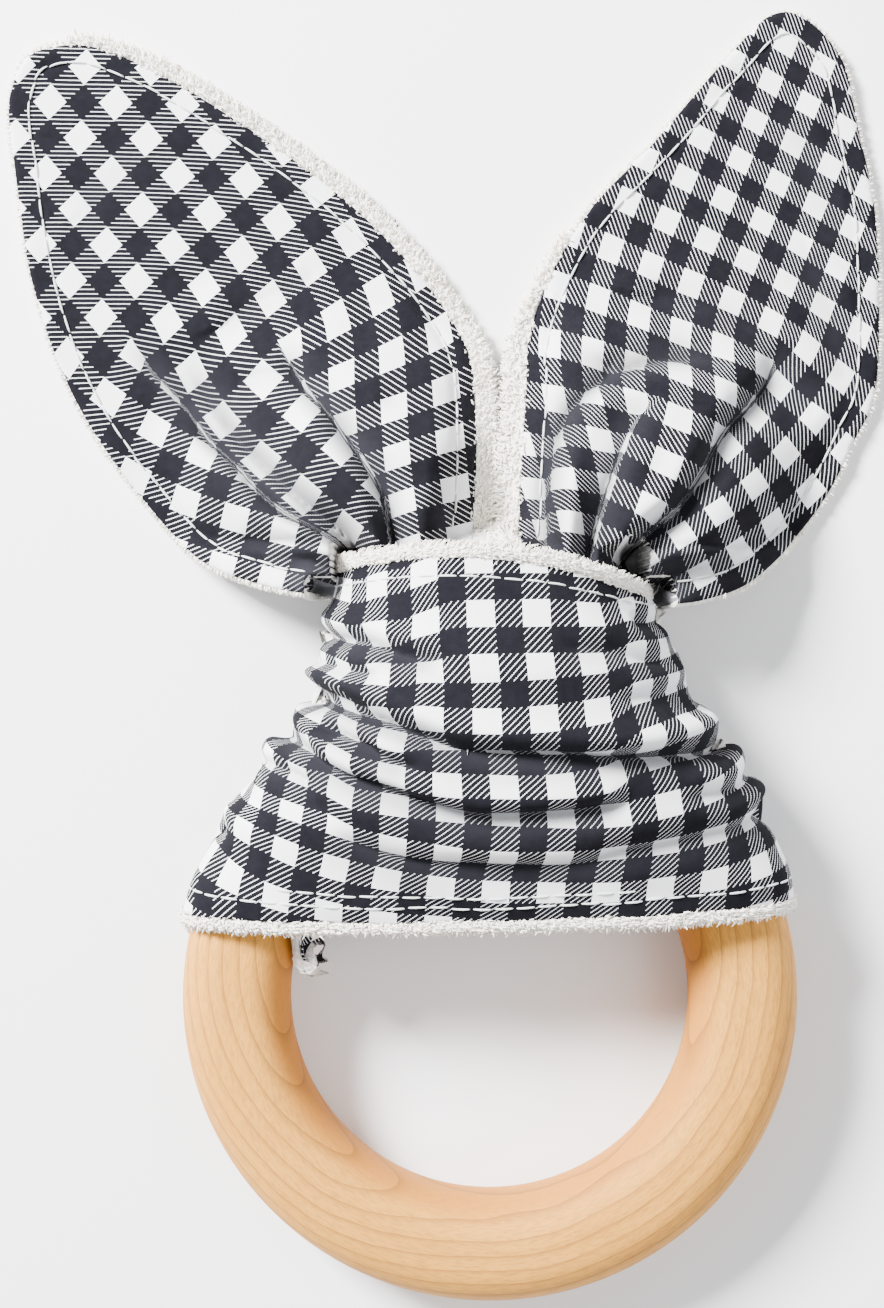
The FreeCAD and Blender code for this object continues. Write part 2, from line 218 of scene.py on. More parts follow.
def inside(points, loop):
    """Which plan points lie inside a closed loop."""
    a, b = loop, np.roll(loop, -1, 0)
    x, y = points[:, 0, None], points[:, 1, None]
    crosses = (a[:, 1] > y) != (b[:, 1] > y)
    slope = (b[:, 0] - a[:, 0]) / np.where(b[:, 1] == a[:, 1], 1e-9, b[:, 1] - a[:, 1])
    return (crosses & (x < a[:, 0] + (y - a[:, 1]) * slope)).sum(1) % 2 == 1


def fill_loop(loop, spacing):
    """Plan points and triangles that fill a closed loop evenly."""
    low, high = loop.min(0), loop.max(0)
    xs = np.arange(low[0], high[0], spacing)
    ys = np.arange(low[1], high[1], spacing * math.sqrt(0.75))
    grid = np.stack(np.meshgrid(xs, ys), -1)
    grid[1::2, :, 0] += spacing / 2
    points = grid.reshape(-1, 2)
    points = points[inside(points, loop)]
    gap, _ = offsets_from(np.vstack([loop, loop[:1]]), points)
    points = points[np.abs(gap) > spacing * 0.5]
    every = [Vector(p) for p in np.vstack([loop, points]).tolist()]
    edges = [(i, (i + 1) % len(loop)) for i in range(len(loop))]
    found = delaunay_2d_cdt(every, edges, [], 1, 1e-5)
    vertices = np.array([tuple(v) for v in found[0]])
    faces = [list(f) for f in found[2]]
    return vertices, faces


TUFT_SIDES = 4
TUFT_BEND = 0.5
TUFT_SWELL = (0.75, 1.0, 0.85, 0.3)


def tufts(name, roots, heads, width, seed):
    """Short curved yarn ends in one mesh, from each root to each head, thick in the middle and closed at the
    tip."""
    rng = np.random.default_rng(seed)
    count = len(roots)
    sides, rings = TUFT_SIDES, len(TUFT_SWELL)
    run = heads - roots
    length = np.linalg.norm(run, axis=1, keepdims=True)
    forward = unit(run)
    side = unit(np.cross(forward, rng.normal(size=(count, 3))))
    other = np.cross(forward, side)
    thick = width * rng.uniform(0.75, 1.25, (count, 1))
    vertices = []
    for ring, swell in enumerate(TUFT_SWELL):
        u = ring / (rings - 1)
        middle = roots + run * u + side * (TUFT_BEND * length * math.sin(math.pi * u) * 0.5)
        for k in range(sides):
            angle = 2 * math.pi * k / sides
            vertices.append(middle + thick * swell * (side * math.cos(angle) + other * math.sin(angle)))
    vertices = np.stack(vertices, 1).reshape(-1, 3)
    vertices[:, 2] = np.maximum(vertices[:, 2], LOWEST_YARN)
    faces = []
    for i in range(count):
        base = i * sides * rings
        for ring in range(rings - 1):
            for k in range(sides):
                a = base + ring * sides + k
                b = base + ring * sides + (k + 1) % sides
                faces.append((a, b, b + sides, a + sides))
        faces.append(tuple(base + (rings - 1) * sides + k for k in range(sides)))
    return new_mesh(name, vertices, faces, YARN)


def fringe(name, line, outward, upward, layers, spacing, reach, width, seed, lean, depth):
    """A fringe of yarn ends along a line of points. Outward and upward are unit vectors at each point."""
    rng = np.random.default_rng(seed)
    count = max(2, round(lengths_along(line)[-1] / spacing))
    columns = evenly(np.hstack([line, outward, upward]), count)
    base, out, up = columns[:, :3], columns[:, 3:6], columns[:, 6:9]
    along = unit(np.gradient(base, axis=0))
    roots, heads = [], []
    for layer in range(layers):
        height = (layer / max(1, layers - 1) - 0.5) * depth
        slide = rng.uniform(-0.5, 0.5, (count, 1)) * spacing
        size = reach[0] + (reach[1] - reach[0]) * rng.random((count, 1))
        root = base + up * (height + rng.normal(0, 0.06, (count, 1))) + along * slide
        turn = lean + rng.normal(0, 0.28, (count, 1))
        rise = rng.normal(0, 0.22, (count, 1)) + 0.25 * height
        roots.append(root - out * 0.35)
        heads.append(root + size * (out + along * turn + up * rise))
    return tufts(name, np.vstack(roots), np.vstack(heads), width, seed + 1)


STITCH_PITCH = 2.3
STITCH_SHARE = 0.92
STITCH_HALF_WIDTH = 0.13
STITCH_STEPS = 12
STITCH_SIDES = 6


def stitches(name, line, upward, seed=1):
    """A row of single stitches along a line on the cloth, each a low rounded bar that dips at its ends."""
    rng = np.random.default_rng(seed)
    count = int(lengths_along(line)[-1] / STITCH_PITCH)
    columns = evenly(np.hstack([line, upward]), count * STITCH_STEPS + 1)
    used = round(STITCH_STEPS * STITCH_SHARE) + 1
    corners = range(STITCH_SIDES)
    vertices, faces = [], []
    for i in range(count):
        bar = columns[i * STITCH_STEPS:][:used]
        middle, up = bar[:, :3], bar[:, 3:]
        side = unit(np.cross(up, np.gradient(middle, axis=0)))
        side_slip = rng.normal(0, 0.05)
        for k in range(len(bar)):
            u = k / (len(bar) - 1)
            arch = math.sin(math.pi * u) ** 0.5
            start = len(vertices)
            for n in corners:
                angle = math.pi * n / 3
                wide = STITCH_HALF_WIDTH * (0.45 + 0.55 * arch) * math.cos(angle) + side_slip
                high = 0.12 * math.sin(angle) * (0.5 + 0.5 * arch) + 0.16 * arch - 0.10
                vertices.append(middle[k] + side[k] * wide + up[k] * high)
            ring = [start + n for n in corners]
            if k:
                for n in corners:
                    after = ring[(n + 1) % STITCH_SIDES]
                    faces.append((ring[n] - STITCH_SIDES, after - STITCH_SIDES, after, ring[n]))
            else:
                faces.append(tuple(reversed(ring)))
        faces.append(tuple(ring))
    return new_mesh(name, np.array(vertices), faces, THREAD)


# ------------------------------------------------------------------ materials

CHECK = 3.0
THREADS_PER_CHECK = 16.0
THREAD_PITCH = CHECK / THREADS_PER_CHECK
TWILL_THREADS = 4.0
# How much further a black thread shows than its half of the twill.
DARK_SPREAD = 0.32
# Added before a fraction is taken, so that it is of a positive number.
NEVER_NEGATIVE = 1000.0


class Nodes:
    """Short hand for building a shader out of math nodes."""

    def __init__(self, name):
        self.material = bpy.data.materials.new(name)
        self.material.use_nodes = True
        self.tree = self.material.node_tree
        self.shader = next(n for n in self.tree.nodes if n.type == "BSDF_PRINCIPLED")

    def node(self, kind):
        return self.tree.nodes.new("ShaderNode" + kind)

    def link(self, value, socket):
        if isinstance(value, bpy.types.NodeSocket):
            self.tree.links.new(value, socket)
        else:
            socket.default_value = value

    def math(self, operation, a, b=0.0):
        node = self.node("Math")
        node.operation = operation
        for value, socket in zip((a, b), node.inputs):
            self.link(value, socket)
        return node.outputs[0]

    def plus(self, a, b):
        return self.math("ADD", a, b)

    def minus(self, a, b):
        return self.math("SUBTRACT", a, b)

    def times(self, a, b):
        return self.math("MULTIPLY", a, b)

    def mix(self, share, a, b, blend="MIX"):
        node = self.node("Mix")
        node.data_type = "RGBA"
        node.blend_type = blend
        self.link(share, node.inputs[0])
        self.link(a, node.inputs[6])
        self.link(b, node.inputs[7])
        return node.outputs[2]

    def noise(self, vector, scale, detail, roughness):
        node = self.node("TexNoise")
        self.link(vector, node.inputs["Vector"])
        node.inputs["Scale"].default_value = scale
        node.inputs["Detail"].default_value = detail
        node.inputs["Roughness"].default_value = roughness
        return node.outputs[0]

    def position_mm(self):
        """The object's own coordinates in millimetres."""
        coordinates = self.node("TexCoord")
        scale = self.node("VectorMath")
        scale.operation = "SCALE"
        scale.inputs["Scale"].default_value = 1 / MM
        self.link(coordinates.outputs["Object"], scale.inputs[0])
        return scale.outputs[0]

    def split(self, vector):
        node = self.node("SeparateXYZ")
        self.link(vector, node.inputs[0])
        return node.outputs

    def bump(self, height, strength, distance_mm):
        node = self.node("Bump")
        node.inputs["Strength"].default_value = strength
        node.inputs["Distance"].default_value = distance_mm * MM
        self.link(height, node.inputs["Height"])
        self.link(node.outputs[0], self.shader.inputs["Normal"])

    def finish(self, colour, roughness, **sockets):
        self.link(colour, self.shader.inputs["Base Color"])
        self.link(roughness, self.shader.inputs["Roughness"])
        for name, value in sockets.items():
            self.shader.inputs[name.replace("_", " ")].default_value = value
        return self.material


def gingham():
    """Black and white check woven as a two-over, two-under twill, thread by thread, with painted shade on the
    threads' edges and in the creases.
    """
    n = Nodes("gingham")
    uv = n.node("UVMap")
    uv.uv_map = "cloth"
    place = n.split(uv.outputs[0])
    s, t = (n.math("DIVIDE", place[k], THREAD_PITCH) for k in (0, 1))
    upright, crosswise = n.math("FLOOR", s), n.math("FLOOR", t)
    stepped = n.minus(upright, crosswise)
    straight = n.minus(s, t)
    step = n.math("DIVIDE", n.plus(n.times(stepped, 0.5), n.times(straight, 0.5)), TWILL_THREADS)
    phase = n.math("FRACT", n.plus(step, NEVER_NEGATIVE))
    upright_on_top = n.math("LESS_THAN", phase, 0.5)
    black_upright = checks(n, upright)
    black_crosswise = checks(n, crosswise)
    shown_upright = n.math("LESS_THAN", phase, 0.5 + DARK_SPREAD)
    shown_crosswise = n.math("GREATER_THAN", phase, 0.5 - DARK_SPREAD)
    black = n.plus(n.times(shown_upright, black_upright), n.times(shown_crosswise, black_crosswise))
    black = n.math("MINIMUM", 1.0, black)
    across_upright = n.math("ABSOLUTE", n.minus(n.math("FRACT", s), 0.5))
    across_crosswise = n.math("ABSOLUTE", n.minus(n.math("FRACT", t), 0.5))
    crosswise_on_top = n.minus(1.0, upright_on_top)
    edge = n.plus(n.times(upright_on_top, across_upright), n.times(crosswise_on_top, across_crosswise))
    rounded = n.minus(1.0, n.times(n.times(edge, edge), 1.6))
    worn = n.noise(n.position_mm(), 0.9, 3.0, 0.6)
    black_tone = n.mix(worn, (0.003, 0.003, 0.005, 1), (0.010, 0.0095, 0.013, 1))
    white_tone = n.mix(worn, (0.88, 0.88, 0.91, 1), (0.95, 0.95, 0.97, 1))
    tone = n.mix(black, white_tone, black_tone)
    # Painted shade: the crease attribute darkens the cloth towards near black in folds and in the band's
    # mouth.
    painted_crease_shade = n.node("Attribute")
    painted_crease_shade.attribute_name = "crease"
    tone = n.mix(n.times(painted_crease_shade.outputs["Fac"], 0.8), tone, (0.02, 0.02, 0.025, 1))
    # Painted shade on each thread: darker towards its edges, where a round thread turns from the light,
    # multiplied into the colour.
    painted_thread_shade = n.mix(rounded, (0.40, 0.40, 0.44, 1), (1.0, 1.0, 1.0, 1))
    n.bump(rounded, 0.35, 0.10)
    return n.finish(n.mix(0.75, tone, painted_thread_shade, "MULTIPLY"), 0.95, Specular_IOR_Level=0.08)


def checks(n, thread):
    """1 where a thread's number falls in a black stripe."""
    stripe = n.math("FLOOR", n.math("DIVIDE", thread, THREADS_PER_CHECK))
    every_other = n.math("FRACT", n.plus(n.times(stripe, 0.5), NEVER_NEGATIVE + 0.25))
    return n.math("GREATER_THAN", every_other, 0.5)


def terry():
    """Looped towelling: off-white, with painted shade darkening the gaps between the loops."""
    n = Nodes("terry")
    where = n.position_mm()
    loops = n.node("TexVoronoi")
    loops.inputs["Scale"].default_value = 1.6
    n.link(where, loops.inputs["Vector"])
    pile = n.minus(1.0, loops.outputs["Distance"])
    n.bump(pile, 0.9, 0.35)
    # Painted shade: darker where the pile is low, in the gaps between the loops.
    tone = n.mix(pile, (0.76, 0.73, 0.68, 1), (0.92, 0.90, 0.86, 1))
    return n.finish(tone, 0.95, Sheen_Weight=0.3, Sheen_Roughness=0.4, Specular_IOR_Level=0.15)


def plain(name, colour, roughness):
    n = Nodes(name)
    return n.finish((*colour, 1), roughness, Specular_IOR_Level=0.3)


def beech():
    """Pale flat-sawn wood. Its growth layers lie almost level, so they show as wavy lines that follow the
    ring."""
    n = Nodes("wood")
    where = n.position_mm()
    x, y, z = n.split(where)
    radius = n.math("SQRT", n.plus(n.times(x, x), n.times(y, y)))
    level = n.minus(z, n.times(y, math.tan(TILT)))
    wander = n.noise(where, 0.045, 2.0, 0.4)
    fine_wander = n.noise(where, 0.35, 3.0, 0.5)
    aside, above = n.plus(x, 3.0), n.minus(y, 5.0)
    from_pith = n.math("SQRT", n.plus(n.times(aside, aside), n.times(above, above)))
    dished = n.plus(n.times(level, 0.35), n.times(from_pith, -0.72))
    layer = n.plus(dished, n.plus(n.times(wander, 2.2), n.times(fine_wander, 0.12)))
    place = n.math("FRACT", n.math("DIVIDE", n.plus(layer, 50.0), 1.25))
    late = n.math("POWER", place, 6.0)
    line = n.times(late, n.math("LESS_THAN", place, 0.985))
    stretched = n.node("CombineXYZ")
    angle = n.math("ARCTAN2", y, x)
    for coordinate, scale, socket in zip((radius, angle, z), (5.0, 24.0, 5.0), stretched.inputs):
        n.link(n.times(coordinate, scale), socket)
    grain = n.noise(stretched.outputs[0], 0.9, 4.0, 0.6)
    speck = n.noise(where, 5.0, 2.0, 0.6)
    cloudy = n.noise(where, 0.12, 2.0, 0.5)
    base = n.mix(cloudy, (0.59, 0.255, 0.032, 1), (0.68, 0.325, 0.052, 1))
    # The inner wall darker and more orange: partly painted shade on the wall, partly the wood's own darker
    # end grain there.
    inner = n.times(n.minus(25.8, radius), 0.6)
    inner = n.math("MAXIMUM", 0.0, n.math("MINIMUM", 1.0, inner))
    base = n.mix(n.times(inner, 0.65), base, (0.50, 0.165, 0.014, 1))
    fibres = n.times(n.minus(grain, 0.42), 3.0)
    base = n.mix(n.math("MAXIMUM", 0.0, fibres), base, (0.42, 0.18, 0.03, 1))
    flecks = n.math("MAXIMUM", 0.0, n.times(n.minus(speck, 0.60), 1.6))
    base = n.mix(flecks, base, (0.34, 0.15, 0.04, 1))
    colour = n.mix(n.times(line, 0.8), base, (0.25, 0.10, 0.018, 1))
    n.bump(n.plus(grain, n.times(line, -0.6)), 0.15, 0.08)
    return n.finish(colour, 0.65, Specular_IOR_Level=0.22)


GINGHAM = gingham()
TERRY = terry()
YARN = plain("yarn", (0.90, 0.865, 0.79), 0.95)
THREAD = plain("thread", (0.66, 0.69, 0.67), 0.6)

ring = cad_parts["wooden_ring"]
ring.data.materials.clear()
ring.data.materials.append(beech())

# ------------------------------------------------------------------ the knot: band in front, wraps behind

# Rows of the band from the hem (0) to the top edge (1), level: share, y at the middle, height at the middle,
# height of the side edge, fullness of the arch, smile (y gained per x squared) and lean (y gained per x).
BAND_ROWS = (
    (0.00, 10.5, 16.3, 5.75, 2.9, 0.0003, 0.024),
    (0.15, 15.2, 18.3, 5.75, 2.7, 0.0028, 0.010),
    (0.35, 22.3, 20.8, 5.75, 2.35, 0.0042, 0.0),
    (0.55, 29.8, 22.6, 5.6, 2.3, 0.0040, 0.0),
    (0.75, 38.0, 21.5, 3.6, 2.3, 0.0020, 0.0),
    (0.90, 45.4, 18.6, 0.6, 2.35, -0.0040, -0.04),
    (1.00, 50.1, 17.0, -1.0, 2.4, -0.0100, -0.08),
)
# How the cloth lies on the front of the band: level y, distance up the cloth there with the creases left out,
# then how its rows slope and curve (per x and per x squared) and how far its columns are pushed to the right.
BAND_CLOTH = (
    (8.0, -0.6, -0.054, 0.0030, 0.0),
    (10.6, 3.0, -0.054, 0.0030, 0.0),
    (14.9, 8.9, -0.060, 0.0042, 0.3),
    (18.0, 12.8, -0.075, 0.0052, 1.0),
    (21.3, 17.0, -0.070, 0.0058, 1.3),
    (25.0, 21.9, -0.033, 0.0058, 1.1),
    (29.5, 27.8, -0.022, 0.0075, 0.8),
    (33.0, 31.5, 0.010, 0.0070, 0.75),
    (36.5, 35.3, 0.036, 0.0045, 0.65),
    (42.0, 41.2, 0.024, -0.0015, 0.2),
    (50.3, 50.0, 0.024, -0.0060, -0.1),
)
# Half-widths of the band's outline at level y, left and right.
OUTLINE_Y = (8.0, 10.0, 13.0, 18.0, 20.5, 23.0, 25.0, 27.2, 28.6, 31.2, 35.1, 40.0, 45.3, 50.0)
OUTLINE_LEFT = (35.6, 35.3, 34.0, 31.3, 30.2, 28.9, 26.6, 26.3, 25.6, 22.6, 20.5, 19.1, 18.2, 17.4)
OUTLINE_RIGHT = (35.6, 35.2, 34.5, 32.7, 31.2, 30.3, 29.8, 28.8, 27.6, 25.2, 22.6, 20.9, 18.4, 17.2)
# Where the strip goes under the ring, as bearings from the ring's middle: each side's hem and the top edge.
WRAP_FROM = {"left": math.radians(8.5), "right": math.radians(11.0)}
WRAP_TO = math.radians(77.0)
# How far the hem turns upwards inside the hole, and how far it stands off the wood there.
HEM_RISE_IN_HOLE = {"left": math.radians(3.0), "right": math.radians(20.0)}
HEM_BULGE = {"left": 1.7, "right": 0.0}

# Creases across the band in plan, from left to right: points, depth, half-width, cloth hidden in it, and how
# far the cloth above it is pushed to the left.
BAND_CREASES = (
    (((-24, 36), (-20, 34.4), (-15.7, 32.9), (-11.3, 31.6), (-7.8, 30.3), (-4.6, 29), (-2, 28.4),
     (3.9, 28), (12.8, 27.6), (18.7, 27.9), (24, 28.8), (30, 30.5)), 2.3, 0.8, 3.5, 1.55),
    (((-21, 31.6), (-18.4, 30.9), (-14.7, 29.5), (-12.3, 27.9), (-10.4, 27.1), (-7, 26.4)),
     1.5, 0.7, 0.8, 0),
    (((-26.5, 32.5), (-21, 29.2), (-18.7, 27.2), (-15.7, 25.5), (-11, 23.9), (-6.2, 22.4), (-3, 21.6),
     (0.7, 21.3), (9, 21.9), (16, 23)), 1.7, 0.7, 1.3, 0),
    (((-18.5, 19.8), (-12.7, 17.4), (-7.8, 16.1), (0.8, 15.8), (9.5, 16), (13.8, 17.2), (19.2, 18.1),
     (23, 19), (27, 19.8), (34, 22.4)), 1.1, 1, 1, 0),
    (((-22, 41.3), (-18.4, 40.8), (-14.2, 40.3), (-11.8, 39.5), (-8.8, 38.7), (-4, 38.2)),
     1.5, 0.7, 1, 0),
    (((-22.5, 38.6), (-18.4, 37.8), (-14.8, 37), (-11, 36.6)), 1, 0.7, 0.3, 0),
    (((-22.5, 35.6), (-19.6, 35), (-15.8, 34), (-12.4, 32.6)), 1.2, 0.6, 0.4, 0),
    (((-30.5, 27.6), (-26.8, 27.2), (-23, 26.2), (-18, 24)), 1, 0.8, 0.4, 0),
    (((20.5, 23.4), (27, 24.2), (31, 25.8)), 0.9, 0.8, 0.4, 0),
    (((6, 40), (11.5, 39.3), (13.6, 39.2), (16.8, 38.3), (21.5, 37.5)), 0.9, 0.8, 0.3, 0),
    (((13, 34), (18.5, 34.6), (24, 36.5)), 0.7, 0.8, 0.2, 0),
    (((15, 43), (18, 42.6), (21, 42.8)), 0.8, 0.7, 0.3, 0),
)


def band_row(share, side):
    """One level row of the strip's outer surface, from the middle of the band over the side, under the ring's
    wood and up into its hole: the front part and the wrap behind."""
    columns = np.array(BAND_ROWS)
    y_mid, crown, edge, fullness, smile, lean = (
        np.interp(share, columns[:, 0], columns[:, k]) for k in range(1, 7))
    outline = OUTLINE_LEFT if side == "left" else OUTLINE_RIGHT
    lean = -lean if side == "left" else lean
    half = 30.0
    for _ in range(6):
        half = float(np.interp(y_mid + smile * half * half + lean * half, OUTLINE_Y, outline))
    turn = np.linspace(0, math.pi / 2, 120)
    x = half * np.sin(turn) ** (2 / fullness)
    z = edge + (crown - edge) * np.cos(turn) ** (2 / fullness)
    z[-1] = edge
    y = y_mid + smile * x * x + lean * x
    front = np.stack([x, y, z], -1)
    hem_turn = WRAP_FROM[side] + (WRAP_TO - WRAP_FROM[side]) * smooth(share) ** 0.9
    rise = HEM_RISE_IN_HOLE[side] * (1 - smooth(share / 0.6))
    bulge = HEM_BULGE[side] * (1 - smooth(share / 0.25))
    under = [front[-1]]
    for angle, pull in ((45, 0.35), (90, 0.0), (135, 0.0), (180, 0.0)):
        phi = math.radians(angle)
        theta = hem_turn + rise * angle / 180.0
        sag = bulge * (angle == 180)
        reach = RING_MIDLINE + SLEEVE * math.cos(phi) - sag
        height = RING_MIDDLE - SLEEVE * math.sin(phi) - sag
        point = np.array([reach * math.cos(theta), reach * math.sin(theta), height])
        loose = pull * smooth((share - 0.3) / 0.7)
        under.append(point + loose * (front[-1] - point))
    inner = RING_MIDLINE - SLEEVE
    leaning = inner * 0.96 + bulge
    under.append(np.array([leaning * math.cos(theta), leaning * math.sin(theta) + 1.0, 10.5]))
    tucked = np.array([inner * 0.80 * math.cos(theta), inner * 0.86 * math.sin(theta) + 3.5, 14.5])
    under.append(tucked + bulge * np.array([2.9, 1.6, -0.9]))
    return front, curve_through(under, 0.5)


def crease_fields(points):
    """Depth of the band's creases over its plan, the cloth hidden below each point, its sideways slip and the
    painted shade it gets from lying in a crease, 0 to 1."""
    depth, hidden, slip, painted_shade = np.zeros((4, len(points)))
    x, y = points.T
    for line, deep, width, lost, pushed in BAND_CREASES:
        along, up = curve_through(line, 0.8).T
        ends = min(4.0, 0.25 * (along[-1] - along[0]))
        slope = np.interp(x, along, np.gradient(up, along))
        gap = (y - np.interp(x, along, up)) / np.hypot(1, slope)
        taper = smooth((x - along[0]) / ends) * smooth((along[-1] - x) / ends)
        wide = np.where(gap > 0, width * 0.7, width * 1.4)
        depth += deep * taper * cleft(gap / wide)
        depth -= 0.45 * deep * taper * np.exp(-((gap - 2.4 * width) / (1.9 * width)) ** 2)
        # Painted shade across each crease: a broad band just below its bottom and a sharp core on it.
        shade_falloff = 0.6 * np.exp(-((gap + 0.8) / 1.5) ** 2) + 0.4 * np.exp(-np.abs(gap) / 0.5)
        painted_shade = np.maximum(painted_shade, taper * min(1.0, deep / 1.8) * shade_falloff)
        step = taper * 0.5 * (1 + np.tanh(gap / (0.35 * width)))
        hidden += lost * step
        slip += pushed * step
    return depth, hidden, slip, painted_shade


def cleft(across):
    """The cross-section of a crease: a sharp bottom between rounded shoulders, 1 deep."""
    return 0.6 * np.exp(-np.abs(across) * 1.1) + 0.4 * np.exp(-(across / 1.9) ** 2)


FRONT_COLUMNS = 105
WRAP_COLUMNS = 75
ROWS = 150
# The terry runs on past the gingham's hem, at share 0, and past its top edge, at share 1.
TERRY_FROM, TERRY_TO = -0.022, 1.028
TERRY_SLIDE = 42.0


def knot_surface():
    """The outer surface of the middle of the strip as a grid of row-frame points, with each one's place on
    the cloth, the rows' shares and the painted shade it gets from lying in a crease. Rows run from a little
    below the gingham's hem to a little above its top edge."""
    grid, cloth = [], []
    shares = np.linspace(TERRY_FROM, TERRY_TO, ROWS)
    for share in shares:
        inner_share = float(np.clip(share, 0, 1))
        halves = []
        for side in ("left", "right"):
            front, wrap = band_row(inner_share, side)
            slide = (share - inner_share) * TERRY_SLIDE
            front[:, 1] += slide
            beside = 0.25 + 0.75 * np.exp(-(lengths_along(wrap) / 5.0) ** 2)
            wrap[:, 1] += slide * 0.8 * beside
            line = np.vstack([evenly(front, FRONT_COLUMNS), evenly(wrap, WRAP_COLUMNS)[1:]])
            s = lengths_along(line)
            if side == "left":
                line, s = line * np.array([-1.0, 1.0, 1.0]), -s
            halves.append((line, s))
        (left, s_left), (right, s_right) = halves
        grid.append(np.vstack([left[::-1], right[1:]]))
        cloth.append(np.concatenate([s_left[::-1], s_right[1:]]))
    grid, s = np.array(grid), np.array(cloth)
    front = slice(WRAP_COLUMNS - 1, grid.shape[1] - WRAP_COLUMNS + 1)
    normal = grid_normals(grid)
    s_flat, t = lie_of_cloth(grid[:, front], s[:, front])
    fields = crease_fields(to_row(grid[:, front])[..., :2].reshape(-1, 2))
    depth, hidden, slip, painted_shade = (over_wraps(field.reshape(t.shape)) for field in fields)
    t = over_wraps(t) + hidden
    s_shift = over_wraps(s_flat - s[:, front]) + slip
    past_side = np.abs(np.arange(grid.shape[1]) - (grid.shape[1] - 1) / 2) - (FRONT_COLUMNS - 1)
    depth = (depth * np.exp(-(np.maximum(past_side, 0) / 14.0) ** 2)).ravel()
    waves = 0.22 * ripple(np.stack([s.ravel() * 0.45, t.ravel()], -1), 7.0, 11)
    gathers = 0.55 * ripple(np.stack([s.ravel() * 0.12, t.ravel()], -1), 5.5, 12)
    behind = smooth((np.abs(s.ravel()) - 24.0) / 14.0)
    middle = smooth((shares - 0.06) / 0.16) * smooth((1.0 - shares) / 0.08)
    lift = -depth + waves + gathers * behind * np.repeat(middle, grid.shape[1])
    grid = to_row(grid + normal * lift.reshape(s.shape)[..., None])
    grid[..., 2] = soft_floor(grid[..., 2], LOWEST_CLOTH, 0.25)
    return grid, s + s_shift, t, shares, painted_shade * np.exp(-(np.maximum(past_side, 0) / 10.0) ** 2)


def over_wraps(field):
    """A field over the front of the band, carried on unchanged over the wraps."""
    return np.pad(field, ((0, 0), (WRAP_COLUMNS - 1,) * 2), "edge")


def lie_of_cloth(front, s):
    """The place on the cloth of each point on the front of the band, creases left out."""
    columns = np.array(BAND_CLOTH)
    x, y = front[..., 0], front[..., 1]
    slope, curve, push = (np.interp(y, columns[:, 0], columns[:, k]) for k in (2, 3, 4))
    level = y - slope * (x - 4.0) - curve * (x * x - 16.0)
    beyond = np.where(level > columns[-1, 0], level - columns[-1, 0], np.minimum(level - columns[0, 0], 0.0))
    return s + 1.4 - push, np.interp(level, columns[:, 0], columns[:, 1]) + beyond * 1.1


YARN_PAST_SIDE = 7
PILE_PER_POINT = 5


def build_knot():
    """The gingham, the terry under it, the terry's raw edges and the sewing, all riding on the knot."""
    outer, s, t, shares, painted_shade = knot_surface()
    normal = grid_normals(outer)
    rows, columns = s.shape
    first = int(np.argmax(shares >= 0.0))
    last = int(np.argmax(shares > 1.0))
    face_rows = slice(first, last)
    face_inner = outer[face_rows] - normal[face_rows] * FACE
    cloth = np.stack([s[face_rows], t[face_rows]], -1).reshape(-1, 2)
    # The painted shade of the creases goes onto the gingham as its crease attribute.
    face = slab("band_gingham", outer[face_rows].reshape(-1, 3), face_inner.reshape(-1, 3),
                grid_faces(last - first, columns), GINGHAM, cloth, painted_shade[face_rows].ravel())

    sunk = np.where((shares >= 0.0) & (shares <= 1.0), FACE + 0.02, 0.10)[:, None, None]
    rim = np.minimum(shares - shares[0], shares[-1] - shares) * 45.0
    thick = (BACKING * np.sqrt(np.clip(1 - (1 - np.clip(rim / 0.8, 0, 1)) ** 2, 0.02, 1)))[:, None, None]
    top = outer - normal * sunk
    bottom = outer - normal * (FACE + thick)
    backing = slab("band_terry", top.reshape(-1, 3), bottom.reshape(-1, 3), grid_faces(rows, columns), TERRY)

    away = unit(np.gradient(outer, axis=0))
    middle = outer - normal * (FACE + BACKING * 0.5)
    edges = []
    seen = slice(WRAP_COLUMNS - YARN_PAST_SIDE, columns - WRAP_COLUMNS + YARN_PAST_SIDE)
    for name, row, sign, reach, lean in (
        ("band_top_fringe", rows - 2, 1, (0.5, 1.2), 0.8),
        ("band_hem_fringe", 1, -1, (0.4, 1.1), 0.1),
    ):
        out = away[row, seen] * sign
        edges.append(fringe(name, middle[row, seen], out, normal[row, seen], 5, 0.26, reach, 0.16, 30 + row,
                            lean, BACKING))
    for name, band_rows in (("band_top_pile", range(last, rows - 1)), ("band_hem_pile", range(1, first))):
        edges.append(strip_pile(name, outer[band_rows, seen], normal[band_rows, seen]))
    sewing = []
    for name, share, part in (
        ("band_hem_stitches", 0.052, (0.10, 0.90)),
        ("band_hem_second_stitches", 0.092, (0.32, 0.62)),
        ("band_top_stitches", 0.955, (0.12, 0.88)),
    ):
        row = int(np.argmin(np.abs(shares - share)))
        keep = slice(int(columns * part[0]), int(columns * part[1]))
        sewing.append(stitches(name, outer[row, keep], normal[row, keep]))
    return face, backing, edges, sewing


def strip_pile(name, surface, normal):
    """Loops of towelling all over the raw terry beside the gingham's edge, leaning along it."""
    rng = np.random.default_rng(9)
    along = unit(np.gradient(surface, axis=1))
    base, up, ahead = (np.repeat(grid.reshape(-1, 3), PILE_PER_POINT, 0) for grid in (surface, normal, along))
    count = len(base)
    roots = base - up * 0.3 + ahead * rng.uniform(-0.3, 0.3, (count, 1))
    heads = base + up * rng.uniform(-0.05, 0.4, (count, 1)) + ahead * rng.normal(0.55, 0.25, (count, 1))
    heads[:, 1] += rng.normal(0.0, 0.25, count)
    return tufts(name, roots, heads, 0.15, 10)


# ------------------------------------------------------------------ the ears

